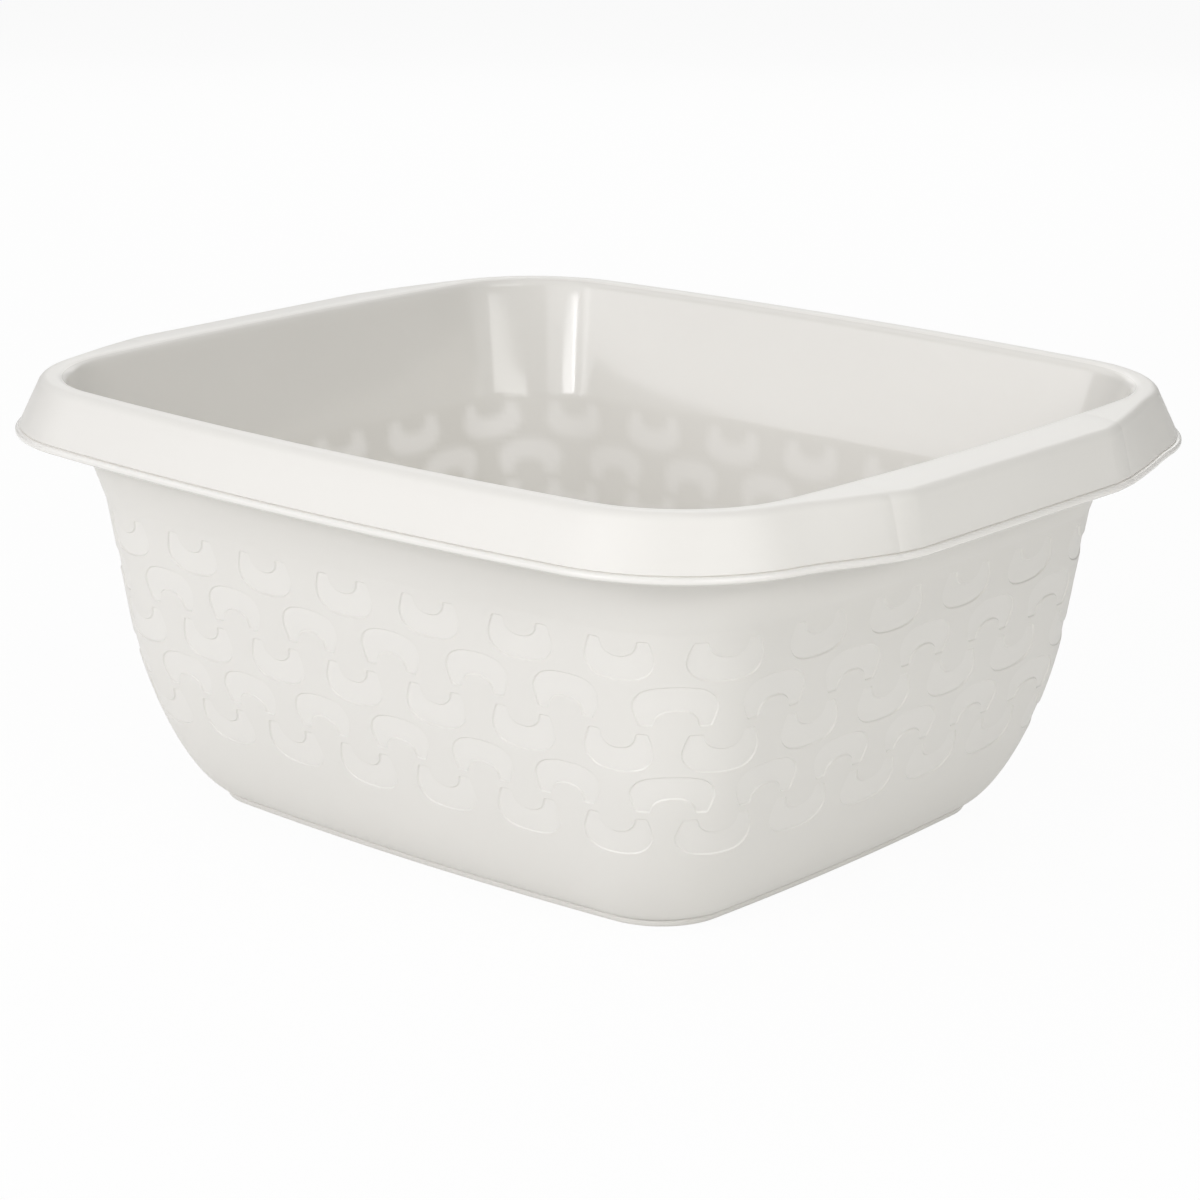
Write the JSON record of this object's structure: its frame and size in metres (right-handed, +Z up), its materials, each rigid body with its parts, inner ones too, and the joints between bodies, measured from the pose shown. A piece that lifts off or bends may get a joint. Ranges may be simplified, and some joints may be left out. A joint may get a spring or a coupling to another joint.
{
  "type": "square bowl",
  "caption": "Moulded plastic washing-up bowl with a slightly oblong, round-cornered plan, a turned-over rim with a skirt, and flat-topped handles at its ends.",
  "frame": {"origin": "centre of the foot's underside, on the floor that the bowl stands on", "axes": "+X along the long side through both handles, +Y across the bowl, +Z up"},
  "size_m": [0.3334, 0.2912, 0.143],
  "materials": {
    "bowl_plastic": "off-white moulded polypropylene with a satin gloss"
  },
  "bodies": {
    "root": {"bowl": "bowl_plastic"}
  },
  "joints": []
}
